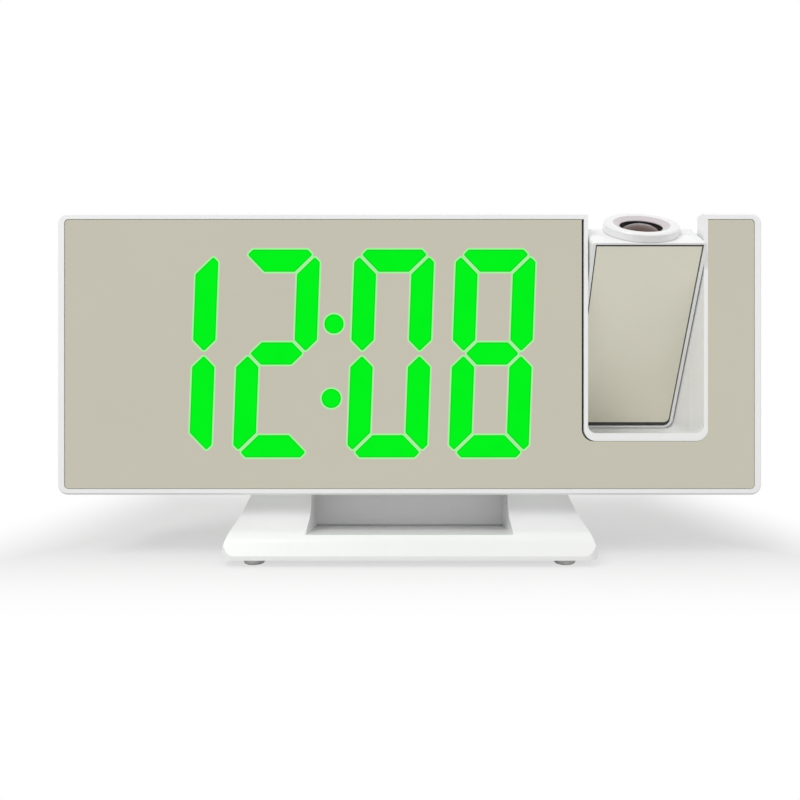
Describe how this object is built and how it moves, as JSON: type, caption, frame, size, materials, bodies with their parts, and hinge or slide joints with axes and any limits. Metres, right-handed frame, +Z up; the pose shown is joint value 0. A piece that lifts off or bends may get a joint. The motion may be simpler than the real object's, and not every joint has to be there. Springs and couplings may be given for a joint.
{
  "type": "projection alarm clock",
  "caption": "Mirror-fronted digital alarm clock on a low stand, with a tilting projector arm set in a slot at one end.",
  "frame": {"origin": "centre of the stand's footprint, on the surface the clock stands on", "axes": "+X to the right as seen from the front, -Y out of the front, +Z up"},
  "size_m": [0.188, 0.043, 0.0956],
  "materials": {
    "white_plastic": "fine satin moulded plastic",
    "display_mirror": "half-silvered acrylic",
    "arm_mirror": "half-silvered acrylic",
    "black_tape": "matte foam",
    "reflector_white": "matte",
    "green_light": "glowing diffuser",
    "dark_diffuser": "translucent matte",
    "led_package": "matte",
    "circuit_board": "solder mask",
    "black_plastic": "matte moulded plastic",
    "steel": "bright steel",
    "zinc_screw": "plated",
    "brass_contact": "plated",
    "aluminium_can": "plain can",
    "grey_plastic": "satin",
    "acetal": "waxy",
    "fibre_washer": "plain",
    "clear_lens": "coated, polished",
    "clear_glass": "polished",
    "cable_jacket": "soft",
    "foot_rubber": "soft, pale",
    "ring_plastic": "satin"
  },
  "bodies": {
    "clock_body": {"front_housing": "white_plastic", "rear_cover": "white_plastic", "mirror_panel": "display_mirror", "mirror_tape": "black_tape", "display_reflector": "reflector_white", "lit_segments": "green_light", "unlit_segments": "dark_diffuser", "segment_leds": "led_package", "display_board": "circuit_board", "display_connector": "black_plastic", "display_screws": "zinc_screw", "main_board": "circuit_board", "board_screws": "zinc_screw", "control_chips": "black_plastic", "capacitors": "aluminium_can", "buzzer": "black_plastic", "key_domes": "steel", "snooze_switch": "black_plastic", "dc_power_jack": "black_plastic", "dc_jack_pin": "brass_contact", "usb_charging_port": "steel", "usb_tongue": "acetal", "backup_cell": "steel", "cell_contacts": "brass_contact", "projector_connector": "acetal", "projector_lead": "cable_jacket", "pivot_bushes": "acetal", "friction_washers": "fibre_washer", "case_screws": "zinc_screw", "stand_shell": "white_plastic", "stand_base_plate": "white_plastic", "rubber_feet": "foot_rubber", "stand_screws": "zinc_screw", "base_screws": "zinc_screw"},
    "projector": {"projector_front_shell": "white_plastic", "projector_rear_shell": "white_plastic", "projector_mirror": "arm_mirror", "projector_mirror_tape": "black_tape", "pivot_tube": "steel", "pivot_pin": "steel", "lens_barrel": "black_plastic", "light_tube": "black_plastic", "image_plate": "clear_glass", "condenser_lens": "clear_glass", "projector_led": "led_package", "projector_led_board": "circuit_board", "projector_inner_lead": "cable_jacket", "projector_screws": "zinc_screw"},
    "focus_ring": {"focus_ring": "ring_plastic"},
    "lens_carrier": {"lens_holder": "black_plastic", "projection_lens": "clear_lens"},
    "snooze_bar": {"snooze_bar": "grey_plastic"},
    "battery_door": {"battery_door": "white_plastic"},
    "mode_key": {"mode_key": "grey_plastic"},
    "alarm_key": {"alarm_key": "grey_plastic"},
    "minus_key": {"minus_key": "grey_plastic"},
    "plus_key": {"plus_key": "grey_plastic"},
    "projector_key": {"projector_key": "grey_plastic"}
  },
  "joints": [
    {"name": "projector_tilt", "type": "hinge", "parent": "clock_body", "child": "projector", "pos_m": [0.06307, -0.0015, 0.08047], "axis": [1, 0, 0], "range_deg": [-119, 61]},
    {"name": "focus_ring_turn", "type": "hinge", "parent": "projector", "child": "focus_ring", "pos_m": [0.06307, -0.00858, 0.08912], "axis": [0, -0.4848, 0.8746], "range_deg": [-60, 60]},
    {"name": "lens_carrier_slide", "type": "slide", "parent": "projector", "child": "lens_carrier", "axis": [0, -0.4848, 0.8746], "range_m": [-0.0006, 0.0006]},
    {"name": "snooze_bar_press", "type": "slide", "parent": "clock_body", "child": "snooze_bar", "axis": [0, 0, -1], "range_m": [0, 0.0006], "stiffness_N_per_m": 1200, "springref_m": -0.0002},
    {"name": "battery_door_turn", "type": "hinge", "parent": "clock_body", "child": "battery_door", "pos_m": [-0.045, 0.0115, 0.043], "axis": [0, 1, 0], "range_deg": [0, 45]},
    {"name": "mode_key_press", "type": "slide", "parent": "clock_body", "child": "mode_key", "axis": [0, -1, 0], "range_m": [0, 0.0005], "stiffness_N_per_m": 1200, "springref_m": -0.0002},
    {"name": "alarm_key_press", "type": "slide", "parent": "clock_body", "child": "alarm_key", "axis": [0, -1, 0], "range_m": [0, 0.0005], "stiffness_N_per_m": 1200, "springref_m": -0.0002},
    {"name": "minus_key_press", "type": "slide", "parent": "clock_body", "child": "minus_key", "axis": [0, -1, 0], "range_m": [0, 0.0005], "stiffness_N_per_m": 1200, "springref_m": -0.0002},
    {"name": "plus_key_press", "type": "slide", "parent": "clock_body", "child": "plus_key", "axis": [0, -1, 0], "range_m": [0, 0.0005], "stiffness_N_per_m": 1200, "springref_m": -0.0002},
    {"name": "projector_key_press", "type": "slide", "parent": "clock_body", "child": "projector_key", "axis": [0, -1, 0], "range_m": [0, 0.0005], "stiffness_N_per_m": 1200, "springref_m": -0.0002}
  ],
  "couplings": [
    {"joint": "focus_ring_turn", "follows": "lens_carrier_slide", "rad_per_m": 1743.6}
  ]
}
